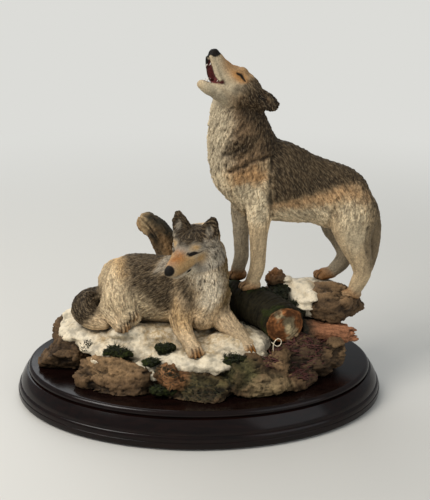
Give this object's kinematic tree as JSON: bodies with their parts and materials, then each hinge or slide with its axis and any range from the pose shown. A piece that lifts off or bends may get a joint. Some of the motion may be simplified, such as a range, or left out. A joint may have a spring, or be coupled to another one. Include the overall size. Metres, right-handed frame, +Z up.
{
  "type": "wolf figurine",
  "caption": "Painted resin group of a howling wolf and a lying wolf on a snowy rock outcrop, screwed to a moulded oval wooden plinth with a baize underside.",
  "frame": {"origin": "centre of the plinth's underside, on the baize's resting face", "axes": "+Z up; +X along the plinth's long axis, towards the howling wolf's tail; -Y towards the viewer"},
  "size_m": [0.28, 0.188, 0.2596],
  "materials": {
    "painted_resin": "hand-painted cold-cast resin: grey-brown and tan fur, off-white snow, brown rock, matt with a slight sheen",
    "mahogany": "dark stained and lacquered, glossy",
    "baize": "felted baize, matt",
    "screw_steel": "zinc-plated steel"
  },
  "bodies": {
    "root": {"resin_group": "painted_resin", "wood_plinth": "mahogany", "plinth_baize": "baize", "fixing_screw_left": "screw_steel", "fixing_screw_right": "screw_steel"}
  },
  "joints": []
}
